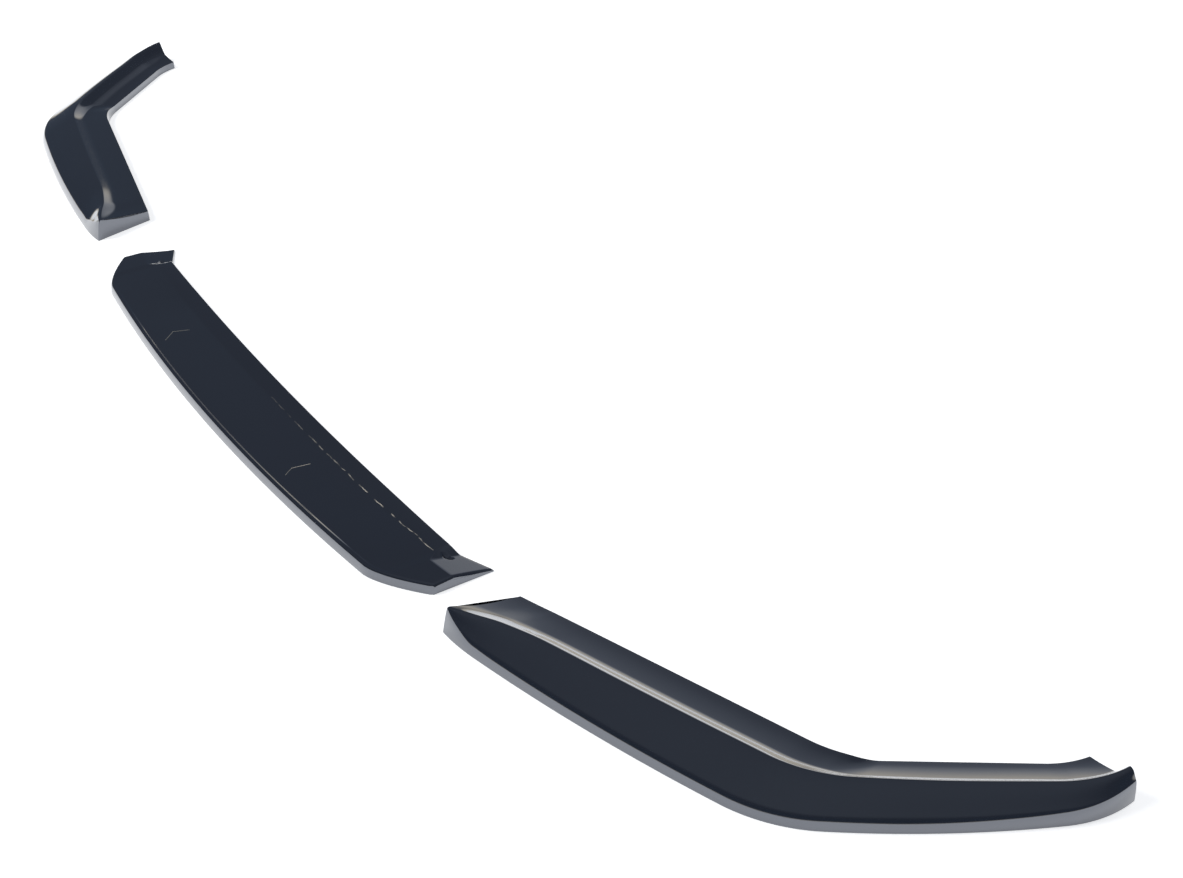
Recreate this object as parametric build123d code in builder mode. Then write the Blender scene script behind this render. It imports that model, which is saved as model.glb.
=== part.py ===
"""Three-piece front splitter lip for a car's bumper, laid out on the floor.

Each piece is one thin moulding, open underneath, that stands on its flat rim.
X runs across the car, with the left side piece at +X. The car's nose points
along -Y, and Z is up. The origin is on the floor, at the middle of the centre
lip's front edge.
"""
from build123d import *
from math import cos, radians, sin
import os

os.makedirs("parts", exist_ok=True)

# Moulding
wall = 3.0                  # thickness of the plastic
end_wall = 3.0              # thickness of the closed end faces
face_draft = 4.0            # lean of the upright faces, in degrees
lip_round = 2.6             # rounding where the lip face turns into the top
trim = 2.0                  # skirt below the rim, cut off flat on the floor

# Centre lip: outline seen from above
centre_half = 376.0         # middle to end cut
bow_radius = 2750.0         # gentle bow of the front edge
corner_start = 314.0        # where the front edge starts to sweep back
corner_rise = 31.0          # how far the corner sweeps back by the end cut
corner_curve = 1.5          # power of that sweep, 1 is a straight corner
rear_edge = 88.5            # rear edge behind the front edge, in the middle
rear_bow_radius = 5500.0    # the rear edge is bowed too, less than the front
tip_start = 332.0           # where the rear edge starts to run out to the tip
tip_reach = 18.0            # how far the tip stands behind the rear edge

# Centre lip: section
blade_front = 10.6          # height of the front bead
bead_width = 7.0            # width of the bead along the front edge
bead_step = 1.3             # drop behind the bead
step_width = 2.6            # distance over which the bead drops
crease_height = 6.2         # lowest line, where the blade meets the rear flange
crease_to_rear = 17.5       # width of the rear flange
flange_height = 12.0        # top of the rear flange
pad_height = 10.8           # top of the raised pads at both ends
pad_width = 50.0            # how far the pads reach in from the end cuts
pad_full = 12.0             # stretch at the end cut where a pad has its full form
facet_width = 28.0          # sloped facet from the pad's top to the tip
tip_height = 3.2            # height of the pointed tips
pad_solid = 22.0            # solid plastic under each facet

# Centre lip: oval dimple in the flange, beside each pad
dimple_place = (341.0, 89.5)
dimple_length = 13.0
dimple_width = 5.0
dimple_turn = 22.0
dimple_depth = 1.6          # below the flange's surface there
dimple_surface = 9.4        # height of the flange's surface there

# Side lip: front rim seen from above, as arcs of (radius, turn in degrees)
left_gap = 48.5             # from the centre lip's end cut to the left lip
left_setback = 33.0         # the left lip's front corner behind the centre's front
rim_heading = 10.5          # direction of the rim there, from +X
rim_arcs = ((1940.0, 9.2), (147.0, 32.8), (913.0, 11.8), (111.0, 34.3))
nose_setback = 4.0          # the front corner curves back this far
nose_corner = 44.0          # length of that curve

# Side lip: rear edge seen from above, from the inner end
end_depth = 79.5            # front corner to rear corner of the inner end
end_heading = 83.0          # direction of the inner end cut, from +X
rear_heading = 18.8
rear_leg = 298.0            # straight edge along the nose
rear_corner_radius = 97.0
rear_corner_turn = 36.5
rear_side = 128.0           # straight edge along the flank
rear_tail_radius = 84.0
rear_tail_turn = 27.0

# Side lip: section
lip_height = 12.0           # upright face along the rim
nose_height = 26.0          # ridge at the inner end
nose_lip = 23.5             # upright face at the inner end
tail_lip = 19.0             # upright face at the outer end
crest_height = 25.0         # ridge along the piece
tail_crest = 29.0           # ridge at the outer end
crest_round = 2.0           # half the width of the rounding over the ridge
foot_share = 0.32           # how far the steep slope behind the ridge runs to the rear
nose_foot = 19.6            # foot of that slope at the inner end
leg_foot = 17.0             # foot of the slope along the nose
leg_rear = 14.0             # rear edge along the nose
side_foot = 14.5            # foot of the slope along the flank
tail_foot = 13.2            # foot of the slope at the outer end
side_rear = 9.5             # rear edge along the flank
scoop = 1.5                 # how steeply the slope falls away, 1 is straight

# Layout on the floor: the right lip's inner front corner, and its turn
right_gap = 72.5            # from the centre lip's end cut to the right lip
right_setback = 47.1
right_turn = 7.4

side_start = (centre_half + left_gap, left_setback)
right_corner = (-centre_half - right_gap, right_setback)


def upright(front, back):
    """Section plane through two points of the floor, x across and y up."""
    across = Vector(back - front).normalized()
    return Plane(origin=front, x_dir=across, z_dir=across.cross(Vector(0, 0, 1)))


def heading(angle):
    """Direction on the floor at an angle from +X, in degrees."""
    return Vector(cos(radians(angle)), sin(radians(angle)), 0)


def top_line(knots):
    """Smooth runs between knots of (distance, height, slope in, slope out)."""
    runs = []
    for (x0, z0, _, leave), (x1, z1, arrive, _) in zip(knots, knots[1:]):
        third = (x1 - x0) / 3
        lead = (x0 + third, z0 + third * leave)
        tail = (x1 - third, z1 - third * arrive)
        runs.append(Bezier((x0, z0), lead, tail, (x1, z1), mode=Mode.PRIVATE))
    return runs


def section(plane, runs, *corners):
    """Section on a plane: the runs, closed by straight lines through corners.

    It is drawn apart from a sketch, which would join the tangent runs into one
    edge, and the loft would then have one face for the lip, ridge and slope.
    """
    ends = [runs[-1] @ 1, *corners, runs[0] @ 0]
    sides = [Line(a, b, mode=Mode.PRIVATE) for a, b in zip(ends, ends[1:])]
    return plane.location * Face(Wire(runs + sides))


def outline(plane, face, knots):
    """Outer section: upright face, rounded lip, top line, rear wall and skirt."""
    lean = sin(radians(face_draft))
    below = face - lip_round
    grip = 0.55 * lip_round
    x, z, _, slope = knots[0]
    lip = Bezier(
        (lean * below, below),
        (lean * (below + grip), below + grip),
        (x - grip, z - grip * slope),
        (x, z),
        mode=Mode.PRIVATE,
    )
    skirt = ((knots[-1][0] + 1, -trim), (0, -trim))
    return section(plane, [lip, *top_line(knots)], *skirt)


def hollow(plane, knots, rear):
    """Section of the cavity: one wall under the top line, up to the rear."""
    x, z, _, slope = knots[0]
    start = min(wall + 1.5, (wall + knots[1][0]) / 2)
    line = [(start, z + slope * (start - x) - wall, 0, slope)]
    line += [(x, z - wall, arrive, leave) for x, z, arrive, leave in knots[1:-1]]
    x, z, slope, _ = knots[-1]
    line.append((rear, z + slope * (rear - x) - wall, slope, 0))
    return section(plane, top_line(line), (rear + 1, -2 * trim), (wall, -2 * trim))


# Centre lip
def centre_front(x):
    """Front edge: a gentle bow, then a rounded sweep back to the end cut."""
    bow = x * x / (2 * bow_radius)
    past = max(abs(x) - corner_start, 0) / (centre_half - corner_start)
    return bow + corner_rise * past ** corner_curve - wall / 2


def centre_rear(x):
    """Rear edge: almost straight, then running out to the tip."""
    bow = x * x / (2 * rear_bow_radius)
    past = max(abs(x) - tip_start, 0) / (centre_half - tip_start)
    return rear_edge + bow + tip_reach * past


def ease_in(x):
    """How far the section at x has turned into the raised pad, 0 to 1."""
    past = (abs(x) - (centre_half - pad_width)) / (pad_width - pad_full)
    past = min(max(past, 0), 1)
    return past * past * (3 - 2 * past)


def centre_section(x):
    """Width of the section at x, and the knots of its top line."""
    width = centre_rear(x) - centre_front(x)
    crease = width - crease_to_rear
    blade = blade_front - bead_step
    behind_bead = bead_width + step_width
    blade_slope = (crease_height - blade) / (crease - behind_bead)
    flange_slope = (flange_height - crease_height) / crease_to_rear
    facet_slope = (tip_height - pad_height) / facet_width
    plain = [
        (lip_round, blade_front - 0.3, 0, 0.05),
        (bead_width, blade_front - 0.2, -0.05, -0.05),
        (behind_bead, blade, blade_slope, blade_slope),
        (crease, crease_height, blade_slope * 0.8, flange_slope * 0.85),
        (width, flange_height, flange_slope, 0),
    ]
    raised = [
        (lip_round, pad_height - 1.0, 0, 0.2),
        (bead_width, pad_height - 0.2, 0.05, 0.05),
        (behind_bead, pad_height, 0, 0),
        (width - facet_width, pad_height, 0, facet_slope),
        (width, tip_height, facet_slope, 0),
    ]
    ease = ease_in(x)
    knots = [
        tuple(p + (r - p) * ease for p, r in zip(low, high))
        for low, high in zip(plain, raised)
    ]
    return width, knots


pad_stations = [corner_start + (centre_half - corner_start) * n / 6 for n in range(7)]
spans = [(-corner_start, 0, corner_start), pad_stations, [-x for x in pad_stations]]

def centre_outline(x):
    """Outer section of the centre lip at x."""
    width, knots = centre_section(x)
    plane = upright(Vector(x, centre_front(x), 0), Vector(x, centre_rear(x), 0))
    return outline(plane, blade_front, knots)


def centre_hollow(x):
    """Section of the cavity at x, kept inside the end walls."""
    x = max(min(x, centre_half - end_wall), end_wall - centre_half)
    width, knots = centre_section(x)
    plane = upright(Vector(x, centre_front(x), 0), Vector(x, centre_rear(x), 0))
    return hollow(plane, knots, width - wall - pad_solid * ease_in(x))


with BuildPart() as centre_lip:
    for span in spans:
        loft([centre_outline(x) for x in span])
    for span in spans:
        loft([centre_hollow(x) for x in span], mode=Mode.SUBTRACT)
    for side in (1, -1):
        place = Location((side * dimple_place[0], dimple_place[1], 0), (0, 0, side * dimple_turn))
        with BuildSketch(Plane(place).offset(dimple_surface - dimple_depth)):
            Ellipse(dimple_length / 2, dimple_width / 2)
        extrude(amount=2 * wall, mode=Mode.SUBTRACT)
    split(bisect_by=Plane.XY, keep=Keep.TOP)

# Side lip
with BuildLine() as rim_line:
    rim = [JernArc(side_start, heading(rim_heading), *rim_arcs[0])]
    for radius, turn in rim_arcs[1:]:
        rim.append(JernArc(rim[-1] @ 1, rim[-1] % 1, radius, turn))

with BuildLine() as rear_line:
    leg_start = Vector(side_start) + end_depth * heading(end_heading)
    rear = [Line(leg_start, leg_start + rear_leg * heading(rear_heading))]
    rear.append(JernArc(rear[-1] @ 1, rear[-1] % 1, rear_corner_radius, rear_corner_turn))
    rear.append(Line(rear[-1] @ 1, rear[-1] @ 1 + rear_side * (rear[-1] % 1)))
    rear.append(JernArc(rear[-1] @ 1, rear[-1] % 1, rear_tail_radius, rear_tail_turn))

# Sections of the side lip, for each stretch of the rim: the share of the way
# along it, the face height, the ridge's share of the width, the ridge's
# height, the foot of the slope behind it, the rear edge's height and the scoop
leg_sections = [
    (0.00, nose_lip, 0.10, nose_height, nose_foot, leg_rear, 1.0),
    (0.06, lip_height + 5.5, 0.21, nose_height, nose_foot - 0.8, leg_rear, 1.1),
    (0.14, lip_height, 0.35, nose_height - 0.5, leg_foot + 1, leg_rear, 1.3),
    (0.28, lip_height, 0.44, crest_height, leg_foot, leg_rear, scoop),
    (0.50, lip_height, 0.47, crest_height, leg_foot, leg_rear, scoop),
    (0.76, lip_height, 0.49, crest_height, leg_foot, leg_rear, scoop),
]
corner_sections = [
    (0.00, lip_height, 0.50, crest_height, leg_foot, leg_rear, scoop),
    (0.50, lip_height, 0.50, crest_height, leg_foot - 1, leg_rear - 1, scoop),
]
flank_sections = [
    (0.00, lip_height, 0.49, crest_height, side_foot, side_rear, scoop),
    (0.40, lip_height, 0.46, crest_height, side_foot, side_rear, scoop),
    (0.80, lip_height + 1.0, 0.42, crest_height, side_foot, side_rear, scoop),
]
tail_sections = [
    (0.30, lip_height + 3.0, 0.34, crest_height + 1.0, side_foot, side_rear, scoop),
    (1.00, tail_lip, 0.20, tail_crest, tail_foot, side_rear, scoop),
]
stretches = (leg_sections, corner_sections, flank_sections, tail_sections)


def side_knots(width, face, share, crest, foot, rear_height, steep):
    """Knots of the top line: lip, ridge with its rounding, foot and rear edge."""
    lean = sin(radians(face_draft)) * face
    ridge = max(width * share, lean + 2 * lip_round)
    end_of_slope = ridge + (width - ridge) * foot_share
    climb = (crest - face) / (ridge - lean)
    fall = steep * (foot - crest) / (end_of_slope - ridge)
    easing = (rear_height - foot) / (width - end_of_slope)
    crown = climb * 0.5
    near = (ridge - crest_round, crest - crest_round * crown, crown, crown)
    far = (ridge + crest_round, crest + crest_round * fall * 0.5, fall, fall)
    start = lean + 0.9 * lip_round
    return [
        (start, face + 0.5 * climb * lip_round, 0, climb * 1.25),
        near,
        far,
        (end_of_slope, foot, easing * 1.5, easing * 1.5),
        (width, rear_height, easing * 0.4, 0),
    ]


def side_plane(stretch, share):
    """Plane of a section of the side lip, and its width."""
    along = share * rim[stretch].length
    front = Vector(rim[stretch] @ share)
    back = Vector(rear[stretch] @ share)
    if stretch == 0 and along < nose_corner:
        front += heading(end_heading) * nose_setback * (1 - along / nose_corner) ** 2
    return upright(front, back), (back - front).length


def side_outline(stretch, share, face, *form):
    """Outer section of the side lip."""
    plane, width = side_plane(stretch, share)
    return outline(plane, face, side_knots(width, face, *form))


def side_hollow(stretch, share, *form):
    """Section of the cavity, kept inside the end walls."""
    if (stretch, share) == (0, leg_sections[0][0]):
        share += end_wall / rim[stretch].length
    if (stretch, share) == (3, tail_sections[-1][0]):
        share -= end_wall / rim[stretch].length
    plane, width = side_plane(stretch, share)
    return hollow(plane, side_knots(width, *form), width - wall)


side_sections = [
    (stretch, *form) for stretch, group in enumerate(stretches) for form in group
]

with BuildPart() as left_lip:
    loft([side_outline(*form) for form in side_sections])
    loft([side_hollow(*form) for form in side_sections], mode=Mode.SUBTRACT)
    split(bisect_by=Plane.XY, keep=Keep.TOP)

# Right lip: the left one's mirror image, set down beside the centre lip
inner_corner = Pos(side_start[0], -side_start[1], 0)
placed = Pos(*right_corner, 0) * Rot(0, 0, right_turn) * inner_corner
with BuildPart() as right_lip:
    with Locations(placed):
        add(mirror(left_lip.part, about=Plane.YZ, mode=Mode.PRIVATE))

for name, piece in (
    ("centre_lip", centre_lip),
    ("left_lip", left_lip),
    ("right_lip", right_lip),
):
    piece.part.label = name
    export_step(piece.part, f"parts/{name}.step")
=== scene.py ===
"""Looks, light and camera for a front splitter lip in three gloss black mouldings.

The mouldings' own sizes, in small letters, are in millimetres and the studio's, in
capitals, in metres. Angles are in degrees. All that is given to Blender is in
metres, in the part's frame: X across the car, -Y towards its nose, Z up, with the
floor at zero.
"""
from math import ceil, cos, radians, sin

import bmesh
import bpy
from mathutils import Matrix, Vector


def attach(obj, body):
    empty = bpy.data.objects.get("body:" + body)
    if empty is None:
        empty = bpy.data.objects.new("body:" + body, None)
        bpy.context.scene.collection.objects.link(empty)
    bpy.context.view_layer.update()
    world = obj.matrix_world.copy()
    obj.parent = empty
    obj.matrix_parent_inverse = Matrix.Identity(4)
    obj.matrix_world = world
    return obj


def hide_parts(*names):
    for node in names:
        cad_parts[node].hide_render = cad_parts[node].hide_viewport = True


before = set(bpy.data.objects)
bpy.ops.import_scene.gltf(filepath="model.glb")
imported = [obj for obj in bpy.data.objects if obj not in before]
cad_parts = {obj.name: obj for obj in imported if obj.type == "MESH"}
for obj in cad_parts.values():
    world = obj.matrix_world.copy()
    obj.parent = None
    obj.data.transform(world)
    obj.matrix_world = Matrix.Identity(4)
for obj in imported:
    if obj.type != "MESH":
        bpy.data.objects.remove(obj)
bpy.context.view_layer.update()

MM = 0.001

# Photograph: its width and focal length in pixels, the camera's place in metres,
# its dip below the level and its turn from +Y
PHOTO_WIDTH = 1183
FOCAL_PIXELS = 1796
CAMERA_PLACE = (1.510, -0.5205, 1.009)
CAMERA_DIP = 33.63
CAMERA_TURN = 56.66

# Studio. The soft glow: the heading of its middle, the cosines of its edges and how
# far it widens with height. The bands are colours by the sine of the height.
GLOW_HEADING = 135
GLOW_EDGES = (0.988, 0.999)
GLOW_SPREAD = 0.027
ROOM_BANDS = (
    (0.00, "#fff6e6"),
    (0.025, "#f0e9da"),
    (0.06, "#4c5462"),
    (0.30, "#4c5563"),
    (0.60, "#525864"),
    (1.00, "#6c727c"),
)
GLOW_BANDS = (
    (0.00, "#fff6e6"),
    (0.13, "#fdf4e4"),
    (0.30, "#c4c6ca"),
    (0.42, "#8b919c"),
    (0.66, "#525864"),
    (1.00, "#6c727c"),
)
FLOOR_SIZE = 16
FLOOR_DROP = 0.0002
FLOOR_GLOW = 0.66

# Moulding. The handles shape the curve from the foot of the face to the lip, as
# shares of the face and of the lip's rounding.
wall = 3.0
end_wall = 3.0
face_draft = 4.0
toe_height = 2.6
face_handle = 0.8
handle_lift = 0.1
lip_handle = 0.55
lip_steps = 14
end_round = 0.9
end_turns = (90, 70, 50, 32, 15)
rear_round = 0.6
rear_turns = (0, 25, 45, 65, 90)
rear_lean = 0.9
hollow_corner = 1.5
hollow_lean = 0.7
hollow_step = 5.0
smooth_angle = 40

# Centre lip
centre_half = 376.0
bow_radius = 2750.0
corner_start = 314.0
corner_rise = 31.0
corner_curve = 1.5
rear_edge = 88.5
rear_bow_radius = 5500.0
tip_start = 332.0
tip_reach = 18.0
blade_front = 10.6
bead_width = 5.2
bead_step = 1.3
bead_deeper = 0.9
bead_middle = 290.0
bead_least = 0.5
bead_drop = 0.2
bead_fall = -0.05
centre_round = 3.4
lift_start = 215.0
lift_end = 335.0
step_width = 2.6
crease_height = 6.2
crease_to_rear = 17.5
crease_eases = (0.8, 0.85)
flange_height = 12.0
flange_drop = 0.6
pad_height = 10.8
pad_step = 0.4
pad_front_drop = 0.3
pad_width = 46.0
pad_full = 33.0
facet_width = 28.0
end_facet = 42.0
tip_height = 4.6
end_tip = 1.8
pad_solid = 22.0
end_hollow = 1.6
end_reach = 26.0
end_edge = 3.2
dimple_place = (341.0, 89.5)
dimple_length = 13.0
dimple_width = 5.0
dimple_turn = 22.0
dimple_depth = 2.0
dimple_edge = 1.6

# Centre lip: steps along each run of its sections, and steps between sections
centre_counts = (5, 8, 24, 18)
centre_hollow_counts = (3, 3, 8, 6)
centre_step = 5.0
pad_close_step = 1.2
pad_zone = pad_width + 10

# Marks on the centre lip: two hooked scratches, as (strength, start, end), and short
# painted highlights (glints) along its crease, in the scratches' bare plastic colour
scratches = (
    (0.35, (-167.3, 23.7), (-181.0, 37.9)),
    (0.45, (-181.0, 37.9), (-176.4, 54.9)),
    (0.40, (141.7, 21.7), (133.7, 32.4)),
    (0.90, (133.7, 32.4), (135.8, 51.1)),
)
scratch_width = 0.55
scratch_core = 0.4
# Painted highlight along the crease: the glints' shift, width, dash length, wander, sway, stretch and
# dash edges
glint_shift = 1.0
glint_width = 0.65
glint_length = 15.0
glint_wander = 3.0
glint_sway = 22.0
glint_start = (-20.0, 220.0)
glint_end = tip_start - 2
glint_dash_edges = (0.44, 0.62)
bare_plastic_and_glint = "#cfc7b6"

# Gloss black ABS: the sizes of its orange peel, its drift in colour and its marks,
# and the least and most roughness that the marks give
peel_size = 7.0
peel_depth = 0.04
drift_size = 60.0
black_tints = ("#0c0f15", "#11141b")
mark_size = 9.0
mark_stretch = (1.0, 9.0, 9.0)
mark_turn_radians = 0.35
mark_spread = (0.45, 0.75)
haze = (0.075, 0.15)

# Side lip
left_gap = 48.5
left_setback = 33.0
rim_heading = 10.5
rim_arcs = ((1940.0, 9.2), (147.0, 32.8), (913.0, 11.8), (111.0, 34.3))
nose_setback = 4.0
nose_corner = 44.0
end_depth = 79.5
end_heading = 83.0
rear_heading = 18.8
rear_leg = 298.0
rear_corner_radius = 97.0
rear_corner_turn = 36.5
rear_side = 128.0
rear_tail_radius = 84.0
rear_tail_turn = 27.0
lip_height = 12.0
nose_height = 26.0
nose_edge = 25.2
tail_lip = 19.0
crest_height = 25.0
tail_crest = 29.0
crest_round = 2.0
side_round = 6.0
least_round = 1.2
round_share = 0.17
nose_lean = 7.5
nose_reach = 50.0
foot_share = 0.38
nose_foot = 19.2
nose_rear = 13.4
leg_foot = 17.0
leg_rear = 14.0
side_foot = 14.5
tail_foot = 13.2
side_rear = 9.5
scoop = 1.15

# Side lip: steps along each run of its sections, and steps between sections, which
# are closer near both ends
side_counts = (16, 8, 16, 8)
side_hollow_counts = (6, 3, 8, 4)
side_step = 3.2
side_close_step = 1.6
nose_zone = 60.0
tail_zone = 80.0

# Side lip's top line: where it starts behind the lip and how steeply, as shares of
# the rounding and of the climb to the ridge, then shares for crown, foot and rear
lip_reach = 0.9
lip_rise = 0.5
lip_climb = 1.25
crown_climb = 0.5
crown_limit = 0.6
foot_ease = 1.5
rear_ease = 0.4

# Where the right lip lies on the floor
right_gap = 72.5
right_setback = 47.1
right_turn = 7.4


def heading(angle):
    """Direction on the floor at an angle from +X, in degrees."""
    return Vector((cos(radians(angle)), sin(radians(angle)), 0))


def cubic(ends, slopes, share):
    """Height on a smooth run between two heights, with a rise at each end."""
    s2, s3 = share * share, share ** 3
    start = (2 * s3 - 3 * s2 + 1) * ends[0] + (s3 - 2 * s2 + share) * slopes[0]
    return start + (3 * s2 - 2 * s3) * ends[1] + (s3 - s2) * slopes[1]


def run_points(knots, counts):
    """Points along a top line, with a count of steps for each of its runs."""
    points = [knots[0][:2]]
    for (x0, z0, _, leave), (x1, z1, arrive, _), count in zip(knots, knots[1:], counts):
        reach = x1 - x0
        for n in range(1, count + 1):
            share = n / count
            slopes = (leave * reach, arrive * reach)
            points.append((x0 + reach * share, cubic((z0, z1), slopes, share)))
    return points


def outline(face, knots, counts, draft, rounding):
    """Outer section from the front rim over the top to the rear rim."""
    lean = sin(radians(draft))
    up = face_handle * (face - rounding)
    back = lip_handle * rounding
    x, z, _, slope = knots[0]
    pull = [
        Vector((lean * toe_height, 0.0)),
        Vector((lean * up, up + handle_lift * rounding)),
        Vector((x - back, z - back * slope)),
        Vector((x, z)),
    ]
    points = []
    for n in range(lip_steps):
        t = n / lip_steps
        weights = ((1 - t) ** 3, 3 * t * (1 - t) ** 2, 3 * t * t * (1 - t), t ** 3)
        points.append(tuple(sum((p * w for p, w in zip(pull, weights)), Vector((0, 0)))))
    points += run_points(knots, counts)
    x, z = points.pop()
    for turn in rear_turns:
        out = rear_round * (1 - sin(radians(turn)))
        down = rear_round * (1 - cos(radians(turn)))
        points.append((x - out, z - down))
    return points + [(x + rear_lean * 2 / 3, z / 2), (x + rear_lean, 0.0)]


def hollow(knots, rear, counts):
    """Section of the cavity from its front rim to its rear rim."""
    x, z, _, slope = knots[0]
    start = min(wall + hollow_corner, (wall + knots[1][0]) / 2)
    line = [(start, z + slope * (start - x) - wall, 0, slope)]
    line += [(x, z - wall, arrive, leave) for x, z, arrive, leave in knots[1:-1]]
    x, z, slope, _ = knots[-1]
    line.append((rear, z + slope * (rear - x) - wall, slope, 0))
    points = run_points(line, counts)
    return [(wall, 0.0), *points, (rear + hollow_lean, 0.0)]


def pulled_in(points, distance):
    """The same section drawn in by a small distance, for a rounded end."""
    drawn = []
    for n, (x, z) in enumerate(points):
        before = points[max(n - 1, 0)]
        after = points[min(n + 1, len(points) - 1)]
        along = Vector((after[0] - before[0], after[1] - before[1])).normalized()
        floor = min(z / (3 * distance), 1) if distance else 1
        drawn.append((x + along.y * min(distance, end_round), z - along.x * distance * floor))
    return drawn


def stood_up(points, front, back):
    """A section's points in space, between two points of the floor in mm."""
    across = (back - front).normalized()
    return [(front + across * x + Vector((0, 0, z))) * MM for x, z in points]


# Centre lip
def centre_front(x):
    """Front edge: a gentle bow, then a rounded sweep back to the end cut."""
    bow = x * x / (2 * bow_radius)
    past = max(abs(x) - corner_start, 0) / (centre_half - corner_start)
    return bow + corner_rise * past ** corner_curve - wall / 2


def centre_rear(x):
    """Rear edge: almost straight, then running out to the tip."""
    bow = x * x / (2 * rear_bow_radius)
    past = max(abs(x) - tip_start, 0) / (centre_half - tip_start)
    return rear_edge + bow + tip_reach * past


def ease_in(x):
    """How far the section at x has turned into the raised pad, 0 to 1."""
    past = (abs(x) - (centre_half - pad_width)) / (pad_width - pad_full)
    past = min(max(past, 0), 1)
    return past * past * (3 - 2 * past)


def centre_section(x):
    """Width of the section at x, and the knots of its top line."""
    width = centre_rear(x) - centre_front(x)
    crease = width - crease_to_rear
    deeper = (bead_step + bead_deeper - bead_least) * max(1 - (x / bead_middle) ** 2, 0)
    blade = blade_front - bead_least - deeper
    lift = min(max((abs(x) - lift_start) / (lift_end - lift_start), 0), 1)
    lift *= lift * (3 - 2 * lift)
    low = crease_height + (pad_height - pad_step - crease_height) * lift
    top = flange_height - flange_drop * lift
    behind_bead = bead_width + step_width
    blade_slope = (low - blade) / (crease - behind_bead)
    flange_slope = (top - low) / crease_to_rear
    past = max((abs(x) - tip_start) / (centre_half - tip_start), 0)
    facet = facet_width + (end_facet - facet_width) * past
    tip = tip_height + (end_tip - tip_height) * past
    facet_slope = (tip - pad_height) / facet
    plain = [
        (centre_round, blade_front - bead_drop, 0, 0),
        (bead_width, blade_front - bead_drop, bead_fall, bead_fall),
        (behind_bead, blade, blade_slope, blade_slope),
        (crease, low, blade_slope * crease_eases[0], flange_slope * crease_eases[1]),
        (width, top, flange_slope, 0),
    ]
    raised = [
        (centre_round, blade_front - pad_front_drop, 0, 0),
        (bead_width, pad_height - bead_drop, 0, 0),
        (behind_bead, pad_height - bead_drop, 0, 0),
        (width - facet, pad_height, 0, facet_slope),
        (width, tip, facet_slope, 0),
    ]
    ease = ease_in(x)
    knots = [
        tuple(p + (r - p) * ease for p, r in zip(low, high))
        for low, high in zip(plain, raised)
    ]
    return width, knots


def spaced(start, stop, step):
    """Evenly spaced values from start up to, and without, stop."""
    count = max(ceil(abs(stop - start) / step), 1)
    return [start + (stop - start) * n / count for n in range(count)]


def rounded_ends(length, radius):
    """Places and insets of the few sections that round off both ends."""
    near = []
    for turn in end_turns:
        place = radius * (1 - cos(radians(90 - turn)))
        near.append((place, radius * (1 - cos(radians(turn)))))
    far = [(length - place, inset) for place, inset in reversed(near)]
    return near, far


def hollowed_end(points, x):
    """A section of the centre lip, drawn inwards in its middle near the end cut."""
    near = max(abs(x) - (centre_half - end_reach), 0) / end_reach
    if not near:
        return points
    first, last = points[0].y, points[-1].y
    drawn = []
    for point in points:
        share = min(max((point.y - first) / (last - first), 0), 1)
        inward = end_hollow * sin(radians(180) * share) * near * near
        drawn.append(point - Vector((inward * MM * (1 if x > 0 else -1), 0, 0)))
    return drawn


def dimpled(points):
    """A section of the centre lip, pressed down where it crosses a dimple."""
    turn = radians(dimple_turn)
    pressed = []
    for point in points:
        x, y = abs(point.x) / MM - dimple_place[0], point.y / MM - dimple_place[1]
        along = (cos(turn) * x + sin(turn) * y) / (dimple_length / 2)
        across = (cos(turn) * y - sin(turn) * x) / (dimple_width / 2)
        inside = max(1 - along * along - across * across, 0)
        drop = dimple_depth * min(inside * dimple_edge, 1) if point.z > wall * MM else 0
        pressed.append(point - Vector((0, 0, drop * MM)))
    return pressed


def centre_rows():
    """Sections of the centre lip in space, outer and inner, from -X to +X."""
    near, far = rounded_ends(2 * centre_half, end_edge)
    far_pad, last = 2 * centre_half - pad_zone, 2 * centre_half - end_edge
    middle = spaced(end_edge, pad_zone, pad_close_step)
    middle += spaced(pad_zone, far_pad, centre_step)
    middle += spaced(far_pad, last, pad_close_step) + [last]
    outer, inner = [], []
    for place, inset in near + [(m, 0) for m in middle] + far:
        x = place - centre_half
        _, knots = centre_section(x)
        front = Vector((x, centre_front(x), 0))
        points = outline(blade_front, knots, centre_counts, face_draft, centre_round)
        points = pulled_in(points, inset)
        row = stood_up(points, front, Vector((x, centre_rear(x), 0)))
        outer.append(dimpled(hollowed_end(row, x)))
    inside = centre_half - end_wall
    for x in spaced(-inside, inside, hollow_step) + [inside]:
        width, knots = centre_section(x)
        front = Vector((x, centre_front(x), 0))
        inner_rear = width - wall - pad_solid * ease_in(x)
        points = hollow(knots, inner_rear, centre_hollow_counts)
        inner.append(stood_up(points, front, Vector((x, centre_rear(x), 0))))
    return outer, inner


# Side lip: the rim and the rear edge as chains of arcs and lines
def chain(start, angle, parts):
    """Stretches of a line on the floor, each an arc (radius, turn) or a length."""
    stretches = []
    place = Vector((start[0], start[1], 0))
    for part in parts:
        if isinstance(part, tuple):
            radius, turn = part
            centre = place + heading(angle + 90) * radius
            stretches.append((centre, radius, angle - 90, turn, radians(turn) * radius))
            angle += turn
            place = centre + heading(angle - 90) * radius
        else:
            stretches.append((place, None, angle, 0, part))
            place = place + heading(angle) * part
    return stretches


def on_chain(stretch, share):
    """Point at a share of the way along one stretch."""
    place, radius, angle, turn, length = stretch
    if radius is None:
        return place + heading(angle) * (length * share)
    return place + heading(angle + turn * share) * radius


side_start = (centre_half + left_gap, left_setback)
rim = chain(side_start, rim_heading, rim_arcs)
leg_start = Vector((*side_start, 0)) + heading(end_heading) * end_depth
rear = chain(
    leg_start,
    rear_heading,
    (
        rear_leg,
        (rear_corner_radius, rear_corner_turn),
        rear_side,
        (rear_tail_radius, rear_tail_turn),
    ),
)

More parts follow.
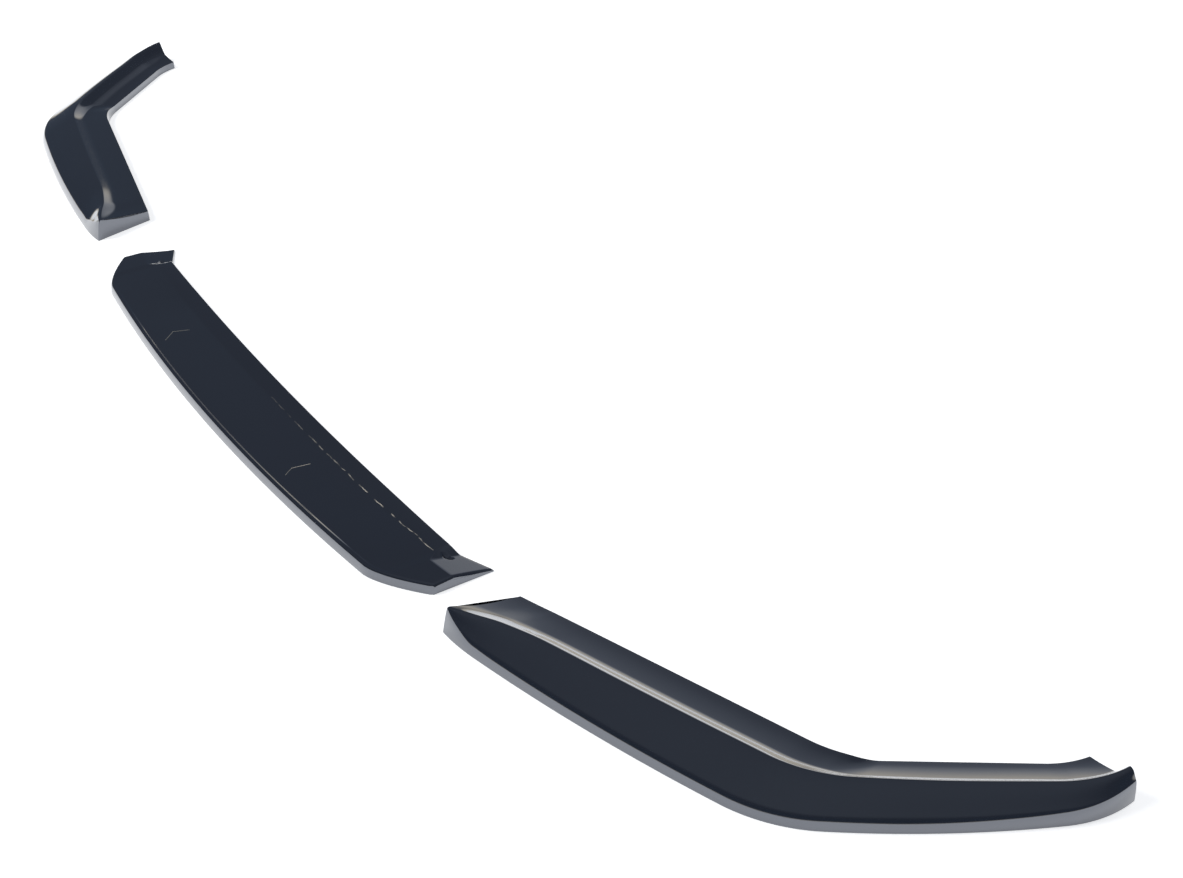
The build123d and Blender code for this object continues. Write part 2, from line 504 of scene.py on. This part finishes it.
# Sections for each stretch of the rim: the share of the way along it, the face
# height, the ridge's share of the width, the ridge's height, the foot of the
# slope behind it, the rear edge's height and the scoop
side_forms = (
    [
        (0.00, nose_edge, 0.09, nose_height, nose_foot, nose_rear, 1.0),
        (0.06, lip_height + 5.5, 0.21, nose_height, nose_foot - 0.8, nose_rear, 1.1),
        (0.14, lip_height, 0.35, nose_height - 0.5, leg_foot + 1, nose_rear + 0.5, 1.25),
        (0.28, lip_height, 0.44, crest_height, leg_foot, leg_rear, scoop),
        (0.50, lip_height, 0.47, crest_height, leg_foot, leg_rear, scoop),
        (0.76, lip_height, 0.49, crest_height, leg_foot, leg_rear, scoop),
    ],
    [
        (0.00, lip_height, 0.50, crest_height, leg_foot, leg_rear, scoop),
        (0.50, lip_height, 0.50, crest_height, leg_foot - 1, leg_rear - 1, scoop),
    ],
    [
        (0.00, lip_height, 0.49, crest_height, side_foot, side_rear, scoop),
        (0.40, lip_height, 0.46, crest_height, side_foot, side_rear, scoop),
        (0.80, lip_height + 1.0, 0.42, crest_height, side_foot, side_rear, scoop),
    ],
    [
        (0.30, lip_height + 3.0, 0.34, crest_height + 1.0, side_foot, side_rear, scoop),
        (1.00, tail_lip, 0.20, tail_crest, tail_foot, side_rear, scoop),
    ],
)
starts = [sum(s[4] for s in rim[:n]) for n in range(len(rim))]
rim_length = sum(s[4] for s in rim)
stations = [
    (starts[n] + share * rim[n][4], form)
    for n, forms in enumerate(side_forms)
    for share, *form in forms
]


def form_at(place):
    """Face, ridge, heights and scoop at a distance along the rim, smoothed."""
    n = max(i for i, (start, _) in enumerate(stations[:-1]) if start <= place or i == 0)
    (x0, a), (x1, b) = stations[n], stations[n + 1]
    before = stations[max(n - 1, 0)]
    after = stations[min(n + 2, len(stations) - 1)]
    share = min(max((place - x0) / (x1 - x0), 0), 1)
    form = []
    for k, (va, vb) in enumerate(zip(a, b)):
        gap = x1 - x0
        left = (va - before[1][k]) / (x0 - before[0]) if n > 0 else (vb - va) / gap
        right = (after[1][k] - vb) / (after[0] - x1) if after[0] > x1 else (vb - va) / gap
        own = (vb - va) / gap
        lean_in = 0 if left * own <= 0 else 2 * left * own / (left + own)
        lean_out = 0 if right * own <= 0 else 2 * right * own / (right + own)
        form.append(cubic((va, vb), (lean_in * gap, lean_out * gap), share))
    return form


def side_draft(place):
    """Lean of the upright face: more at the inner end, where it is a facet."""
    return face_draft + nose_lean * max(1 - place / nose_reach, 0)


def side_rounding(width, lean, share):
    """Rounding of the lip: generous along the piece, tight at its ends."""
    return min(max(round_share * (width * share - lean), least_round), side_round)


def side_knots(place, width, face, share, crest, foot, rear_height, steep):
    """Knots of the top line: lip, ridge with its rounding, foot and rear edge."""
    lean = sin(radians(side_draft(place))) * face
    rounding = side_rounding(width, lean, share)
    ridge = max(width * share, lean + 2 * rounding)
    end_of_slope = ridge + (width - ridge) * foot_share
    climb = (crest - face) / (ridge - lean)
    fall = steep * (foot - crest) / (end_of_slope - ridge)
    easing = (rear_height - foot) / (width - end_of_slope)
    crown = climb * crown_climb
    start = lean + lip_reach * rounding
    before = min(crest_round, crown_limit * (ridge - start))
    return [
        (start, face + lip_rise * climb * rounding, 0, climb * lip_climb),
        (ridge - before, crest - before * crown, crown, crown),
        (ridge + crest_round, crest + crest_round * fall / 2, fall, fall),
        (end_of_slope, foot, easing * foot_ease, easing * foot_ease),
        (width, rear_height, easing * rear_ease, 0),
    ]


def side_edges(place):
    """Front and rear point of the section at a distance along the rim."""
    n = max(i for i, start in enumerate(starts) if start <= place or i == 0)
    share = (place - starts[n]) / rim[n][4]
    front, back = on_chain(rim[n], share), on_chain(rear[n], share)
    if place < nose_corner:
        front += heading(end_heading) * nose_setback * (1 - place / nose_corner) ** 2
    return front, back


def left_rows():
    """Sections of the left lip in space, outer and inner, from its inner end."""
    near, far = rounded_ends(rim_length, end_round)
    tail, last = rim_length - tail_zone, rim_length - end_round
    middle = spaced(end_round, nose_zone, side_close_step)
    middle += spaced(nose_zone, tail, side_step)
    middle += spaced(tail, last, side_close_step) + [last]
    outer, inner = [], []
    for place, inset in near + [(m, 0) for m in middle] + far:
        front, back = side_edges(place)
        width, form, draft = (back - front).length, form_at(place), side_draft(place)
        knots = side_knots(place, width, *form)
        rounding = side_rounding(width, sin(radians(draft)) * form[0], form[1])
        points = outline(form[0], knots, side_counts, draft, rounding)
        outer.append(stood_up(pulled_in(points, inset), front, back))
    last = rim_length - end_wall
    for place in spaced(end_wall, last, hollow_step) + [last]:
        front, back = side_edges(place)
        width = (back - front).length
        knots = side_knots(place, width, *form_at(place))
        points = hollow(knots, width - wall, side_hollow_counts)
        inner.append(stood_up(points, front, back))
    return outer, inner


def set_down_right(point):
    """The left lip's mirror image, turned and set down at its own corner."""
    turn = radians(right_turn)
    x = -point.x / MM + side_start[0]
    y = point.y / MM - side_start[1]
    corner = (-centre_half - right_gap, right_setback)
    across = corner[0] + cos(turn) * x - sin(turn) * y
    along = corner[1] + sin(turn) * x + cos(turn) * y
    return Vector((across * MM, along * MM, point.z))


# Modelling
def shaped_grid(name, rows):
    """A grid primitive whose rows of corners are moved to the sections given."""
    across, along = len(rows[0]), len(rows)
    bpy.ops.object.select_all(action="DESELECT")
    bpy.ops.mesh.primitive_grid_add(x_subdivisions=across - 1, y_subdivisions=along - 1, size=1)
    piece = bpy.context.object
    piece.name = name
    bpy.ops.object.mode_set(mode="EDIT")
    mesh = bmesh.from_edit_mesh(piece.data)
    mesh.verts.ensure_lookup_table()
    for vertex, point in zip(mesh.verts, (p for row in rows for p in row)):
        vertex.co = point
    bmesh.update_edit_mesh(piece.data)
    bpy.ops.object.mode_set(mode="OBJECT")
    return piece


def select_corners(piece, numbers):
    """Leaves edit mode's selection on the corners with these numbers alone."""
    bpy.ops.object.mode_set(mode="EDIT")
    bpy.ops.mesh.select_mode(type="VERT")
    bpy.ops.mesh.select_all(action="DESELECT")
    mesh = bmesh.from_edit_mesh(piece.data)
    mesh.verts.ensure_lookup_table()
    for number in numbers:
        mesh.verts[number].select_set(True)
    mesh.select_flush_mode()
    bmesh.update_edit_mesh(piece.data)


def closed_ends(piece, across, along):
    """Fills the first and the last section of a shaped grid."""
    for first in (0, across * (along - 1)):
        select_corners(piece, range(first, first + across))
        bpy.ops.mesh.edge_face_add()
        bpy.ops.object.mode_set(mode="OBJECT")


def moulding(name, outer, inner):
    """One hollow moulding: outer skin, cavity and the faces that join their rims.

    The bridge pairs the two rims badly: its faces cross over the whole opening on the
    floor, where a narrow flat rim should be. Only the underside is wrong.
    """
    skin = shaped_grid(name, outer)
    closed_ends(skin, len(outer[0]), len(outer))
    cavity = shaped_grid(name + "_cavity", inner)
    closed_ends(cavity, len(inner[0]), len(inner))
    bpy.ops.object.select_all(action="DESELECT")
    cavity.select_set(True)
    skin.select_set(True)
    bpy.context.view_layer.objects.active = skin
    bpy.ops.object.join()
    bpy.ops.object.mode_set(mode="EDIT")
    bpy.ops.mesh.select_mode(type="EDGE")
    bpy.ops.mesh.select_all(action="DESELECT")
    bpy.ops.mesh.select_non_manifold(extend=False)
    bpy.ops.mesh.bridge_edge_loops()
    bpy.ops.mesh.select_all(action="SELECT")
    bpy.ops.mesh.normals_make_consistent(inside=False)
    bpy.ops.object.mode_set(mode="OBJECT")
    bpy.ops.object.shade_smooth_by_angle(angle=radians(smooth_angle))
    weights = skin.modifiers.new("even_shading", "WEIGHTED_NORMAL")
    weights.keep_sharp = True
    bpy.ops.object.modifier_apply(modifier=weights.name)
    return skin


# Materials
def linear(colour):
    """Linear colour from an sRGB hex value."""
    parts = [int(colour[n:n + 2], 16) / 255 for n in (1, 3, 5)]
    return (*[p / 12.92 if p <= 0.04045 else ((p + 0.055) / 1.055) ** 2.4 for p in parts], 1)


def node(tree, kind, settings=None, links=None):
    """Adds one shader node, with its settings, its socket values and its links."""
    made = tree.nodes.new(kind)
    for key, value in (settings or {}).items():
        setattr(made, key, value)
    for key, value in (links or {}).items():
        socket = made.inputs[key]
        if isinstance(value, bpy.types.NodeSocket):
            tree.links.new(value, socket)
        else:
            socket.default_value = value
    return made


PLUS = {"operation": "ADD"}
MINUS = {"operation": "SUBTRACT"}
TIMES = {"operation": "MULTIPLY"}


def new_material(name):
    """An empty material with its output node."""
    made = bpy.data.materials.new(name)
    made.use_nodes = True
    made.node_tree.nodes.clear()
    return made, made.node_tree, made.node_tree.nodes.new("ShaderNodeOutputMaterial")


def stroke(tree, place, start, end):
    """How far a point lies inside a straight scratch between two points in mm."""
    start, end = Vector((*start, 0)) * MM, Vector((*end, 0)) * MM
    along = (end - start).normalized()
    flat = node(tree, "ShaderNodeVectorMath", TIMES, {0: place, 1: (1, 1, 0)}).outputs[0]
    offset = node(tree, "ShaderNodeVectorMath", MINUS, {0: flat, 1: start}).outputs[0]
    run = node(
        tree, "ShaderNodeVectorMath", {"operation": "DOT_PRODUCT"}, {0: offset, 1: along}
    ).outputs["Value"]
    held = node(
        tree, "ShaderNodeClamp", None, {"Value": run, "Min": 0.0, "Max": (end - start).length}
    ).outputs[0]
    foot = node(
        tree, "ShaderNodeVectorMath", {"operation": "SCALE"}, {0: along, "Scale": held}
    ).outputs[0]
    gap = node(
        tree, "ShaderNodeVectorMath", {"operation": "DISTANCE"}, {0: offset, 1: foot}
    ).outputs["Value"]
    edge = scratch_width * MM
    return node(
        tree, "ShaderNodeMapRange", {"interpolation_type": "SMOOTHSTEP"},
        {"Value": gap, "From Min": edge, "From Max": edge * scratch_core, "To Max": 1.0},
    ).outputs[0]


def painted_crease_glints(tree, place):
    """Painted highlight: short pale glints along the centre lip's crease, from its middle to +X."""
    parts = node(tree, "ShaderNodeSeparateXYZ", None, {"Vector": place}).outputs
    x = parts["X"]
    square = node(tree, "ShaderNodeMath", TIMES, {0: x, 1: x}).outputs[0]
    curve = 1 / (2 * rear_bow_radius * MM)
    bow = node(tree, "ShaderNodeMath", TIMES, {0: square, 1: curve}).outputs[0]
    crease = (rear_edge - crease_to_rear + glint_shift) * MM
    line = node(tree, "ShaderNodeMath", PLUS, {0: bow, 1: crease}).outputs[0]
    noise = node(
        tree, "ShaderNodeTexNoise", {"noise_dimensions": "1D"},
        {"W": x, "Scale": 1 / (glint_sway * MM)},
    ).outputs["Fac"]
    centred = node(tree, "ShaderNodeMath", MINUS, {0: noise, 1: 0.5}).outputs[0]
    sway = node(tree, "ShaderNodeMath", TIMES, {0: centred, 1: glint_wander * MM}).outputs[0]
    middle = node(tree, "ShaderNodeMath", PLUS, {0: line, 1: sway}).outputs[0]
    offset = node(tree, "ShaderNodeMath", MINUS, {0: parts["Y"], 1: middle}).outputs[0]
    aside = node(tree, "ShaderNodeMath", {"operation": "ABSOLUTE"}, {0: offset}).outputs[0]
    near = node(
        tree, "ShaderNodeMapRange", None,
        {"Value": aside, "From Min": glint_width * MM, "From Max": glint_width * MM / 2},
    ).outputs[0]
    along = node(
        tree, "ShaderNodeTexNoise", {"noise_dimensions": "1D"},
        {"W": x, "Scale": 1 / (glint_length * MM), "Detail": 1.0},
    ).outputs["Fac"]
    # Painted highlight: where along the crease the pale glints show, in dashes
    pale_marked = node(
        tree, "ShaderNodeMapRange", None,
        {"Value": along, "From Min": glint_dash_edges[0], "From Max": glint_dash_edges[1]},
    ).outputs[0]
    first, full = glint_start
    started = node(
        tree, "ShaderNodeMapRange", None,
        {"Value": x, "From Min": first * MM, "From Max": full * MM, "To Min": 0.0, "To Max": 0.9},
    ).outputs[0]
    ended = node(
        tree, "ShaderNodeMath", {"operation": "LESS_THAN"}, {0: x, 1: glint_end * MM}
    ).outputs[0]
    spots = node(tree, "ShaderNodeMath", TIMES, {0: near, 1: pale_marked}).outputs[0]
    stretch = node(tree, "ShaderNodeMath", TIMES, {0: started, 1: ended}).outputs[0]
    return node(tree, "ShaderNodeMath", TIMES, {0: spots, 1: stretch}).outputs[0]


def gloss_black_abs(pale_marked=False):
    """ABS sheet, moulded and polished: a deep blue-black with a hard wet gloss.

    The eye gets mirror-like reflections that waver a little with the moulding's
    orange peel, and a very fine haze of handling marks. Where it is scratched, the pale
    bare plastic shows and the gloss is gone. Along the centre lip's crease the same pale
    colour is a painted highlight: short glints without gloss.
    """
    name = "scratched_and_glint_painted_gloss_black_abs" if pale_marked else "moulded_gloss_black_abs"
    made, tree, output = new_material(name)
    place = node(tree, "ShaderNodeTexCoord").outputs["Object"]
    peel = node(
        tree, "ShaderNodeTexNoise", None,
        {"Vector": place, "Scale": 1 / (peel_size * MM), "Detail": 1.0},
    ).outputs["Fac"]
    drift = node(
        tree, "ShaderNodeTexNoise", None,
        {"Vector": place, "Scale": 1 / (drift_size * MM), "Detail": 2.0},
    ).outputs["Fac"]
    swirl = node(
        tree, "ShaderNodeMapping", None,
        {"Vector": place, "Scale": mark_stretch, "Rotation": (0, 0, mark_turn_radians)},
    ).outputs[0]
    marks = node(
        tree, "ShaderNodeTexNoise", None,
        {"Vector": swirl, "Scale": 1 / (mark_size * MM), "Detail": 4.0},
    ).outputs["Fac"]
    rough = node(
        tree, "ShaderNodeMapRange", None,
        {
            "Value": marks,
            "From Min": mark_spread[0],
            "From Max": mark_spread[1],
            "To Min": haze[0],
            "To Max": haze[1],
        },
    ).outputs[0]
    colour = node(
        tree, "ShaderNodeMix", {"data_type": "RGBA"},
        {0: drift, 6: linear(black_tints[0]), 7: linear(black_tints[1])},
    ).outputs[2]
    coat = 1.0
    if pale_marked:
        # Painted highlight along the crease, joined below with the real scratches
        scratch_and_glint_mask = painted_crease_glints(tree, place)
        for strength, start, end in scratches:
            mark = stroke(tree, place, start, end)
            mark = node(tree, "ShaderNodeMath", TIMES, {0: mark, 1: strength}).outputs[0]
            scratch_and_glint_mask = node(
                tree, "ShaderNodeMath", {"operation": "MAXIMUM"}, {0: scratch_and_glint_mask, 1: mark}
            ).outputs[0]
        # Scratches show pale bare plastic. The crease glints are painted highlight in the same colour,
        # and both lose their gloss.
        colour = node(
            tree, "ShaderNodeMix", {"data_type": "RGBA"}, {0: scratch_and_glint_mask, 6: colour, 7: linear(bare_plastic_and_glint)}
        ).outputs[2]
        dull = node(tree, "ShaderNodeMath", TIMES, {0: scratch_and_glint_mask, 1: 0.35}).outputs[0]
        rough = node(tree, "ShaderNodeMath", PLUS, {0: rough, 1: dull}).outputs[0]
        coat = node(tree, "ShaderNodeMath", MINUS, {0: 1.0, 1: scratch_and_glint_mask}).outputs[0]
    waver = node(
        tree, "ShaderNodeBump", None,
        {"Strength": 0.10, "Distance": peel_depth * MM, "Height": peel},
    ).outputs[0]
    surface = node(
        tree, "ShaderNodeBsdfPrincipled", None,
        {
            "Base Color": colour,
            "Roughness": rough,
            "IOR": 1.75,
            "Specular IOR Level": 1.0,
            "Specular Tint": linear("#e6eeff"),
            "Coat Weight": coat,
            "Coat Roughness": 0.04,
            "Coat IOR": 1.6,
            "Normal": waver,
            "Coat Normal": waver,
        },
    )
    tree.links.new(surface.outputs[0], output.inputs["Surface"])
    return made


def white_paper():
    """Seamless studio paper: shows as plain white and keeps a soft shadow."""
    made, tree, output = new_material("white_studio_paper")
    path = node(tree, "ShaderNodeLightPath").outputs
    shown = path["Is Camera Ray"]
    for ray in ("Is Glossy Ray", "Is Transmission Ray"):
        shown = node(
            tree, "ShaderNodeMath", {"operation": "MAXIMUM"}, {0: shown, 1: path[ray]}
        ).outputs[0]
    paper = node(tree, "ShaderNodeBsdfDiffuse", None, {"Color": linear("#f4f4f4")}).outputs[0]
    glow = node(tree, "ShaderNodeEmission", None, {"Strength": FLOOR_GLOW}).outputs[0]
    none = node(tree, "ShaderNodeEmission", None, {"Strength": 0.0}).outputs[0]
    lift = node(tree, "ShaderNodeMixShader", None, {0: shown, 1: none, 2: glow}).outputs[0]
    both = node(tree, "ShaderNodeAddShader", None, {0: paper, 1: lift}).outputs[0]
    tree.links.new(both, output.inputs["Surface"])
    return made


# Pieces
black = gloss_black_abs()
# Centre lip's material: real scratches and painted crease highlights
scratched_and_glint_painted = gloss_black_abs(pale_marked=True)
centre = moulding("centre_lip_shell", *centre_rows())
left_outer, left_inner = left_rows()
left = moulding("left_lip_shell", left_outer, left_inner)
right = moulding(
    "right_lip_shell",
    [[set_down_right(p) for p in row] for row in left_outer],
    [[set_down_right(p) for p in row] for row in left_inner],
)
for piece, replaced in ((centre, "centre_lip"), (left, "left_lip"), (right, "right_lip")):
    piece.data.materials.clear()
    piece.data.materials.append(scratched_and_glint_painted if piece is centre else black)
    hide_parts(replaced)
    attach(piece, "root")

# Floor
bpy.ops.object.select_all(action="DESELECT")
bpy.ops.mesh.primitive_plane_add(size=FLOOR_SIZE, location=(0, 0, -FLOOR_DROP))
floor = bpy.context.object
floor.name = "studio_floor"
floor.data.materials.append(white_paper())


# Light
def banded(tree, height, bands):
    """Colour by the sine of the height over the horizon."""
    made = node(tree, "ShaderNodeValToRGB", None, {"Fac": height})
    while len(made.color_ramp.elements) < len(bands):
        made.color_ramp.elements.new(1.0)
    for element, (place, colour) in zip(made.color_ramp.elements, bands):
        element.position = place
        element.color = linear(colour)
    return made.outputs["Color"]


def studio_world():
    """A pale rim at the horizon under a dim, cool ceiling, and a narrow soft glow
    to the car's rear left.
    """
    made = bpy.data.worlds.new("studio")
    made.use_nodes = True
    tree = made.node_tree
    tree.nodes.clear()
    direction = node(tree, "ShaderNodeTexCoord").outputs["Generated"]
    height = node(tree, "ShaderNodeSeparateXYZ", None, {"Vector": direction}).outputs["Z"]
    room = banded(tree, height, ROOM_BANDS)
    glow = banded(tree, height, GLOW_BANDS)
    level = node(tree, "ShaderNodeVectorMath", TIMES, {0: direction, 1: (1, 1, 0)}).outputs[0]
    unit = node(
        tree, "ShaderNodeVectorMath", {"operation": "NORMALIZE"}, {0: level}
    ).outputs[0]
    facing = node(
        tree, "ShaderNodeVectorMath", {"operation": "DOT_PRODUCT"},
        {0: unit, 1: heading(GLOW_HEADING)},
    ).outputs["Value"]
    spread = node(tree, "ShaderNodeMath", TIMES, {0: height, 1: GLOW_SPREAD}).outputs[0]
    wider = node(tree, "ShaderNodeMath", PLUS, {0: facing, 1: spread}).outputs[0]
    share = node(
        tree, "ShaderNodeMapRange", {"interpolation_type": "SMOOTHSTEP"},
        {"Value": wider, "From Min": GLOW_EDGES[0], "From Max": GLOW_EDGES[1]},
    ).outputs[0]
    both = node(
        tree, "ShaderNodeMix", {"data_type": "RGBA"}, {0: share, 6: room, 7: glow}
    ).outputs[2]
    sky = node(tree, "ShaderNodeBackground", None, {"Color": both, "Strength": 1.0}).outputs[0]
    node(tree, "ShaderNodeOutputWorld", None, {"Surface": sky})
    return made


def lamp(name, place, aim, size, power):
    """A square soft box that faces a point."""
    data = bpy.data.lights.new(name, "AREA")
    data.size = size
    data.energy = power
    made = bpy.data.objects.new(name, data)
    bpy.context.scene.collection.objects.link(made)
    made.location = place
    made.rotation_euler = (Vector(aim) - Vector(place)).to_track_quat("-Z", "Y").to_euler()
    made.visible_glossy = False


bpy.context.scene.world = studio_world()
lamp("key_softbox", (-1.7, -2.3, 2.9), (0.2, 0, 0), 2.0, 105)
lamp("fill_softbox", (0.6, 3.0, 2.8), (0, 0, 0), 2.4, 40)

# Camera
camera = bpy.data.cameras.new("camera")
camera.sensor_width = 36
camera.lens = 36 * FOCAL_PIXELS / PHOTO_WIDTH
camera_object = bpy.data.objects.new("camera", camera)
bpy.context.scene.collection.objects.link(camera_object)
camera_object.location = CAMERA_PLACE
camera_object.rotation_euler = (radians(90 - CAMERA_DIP), 0, radians(CAMERA_TURN))
bpy.context.scene.camera = camera_object
bpy.context.scene.view_settings.view_transform = "Standard"
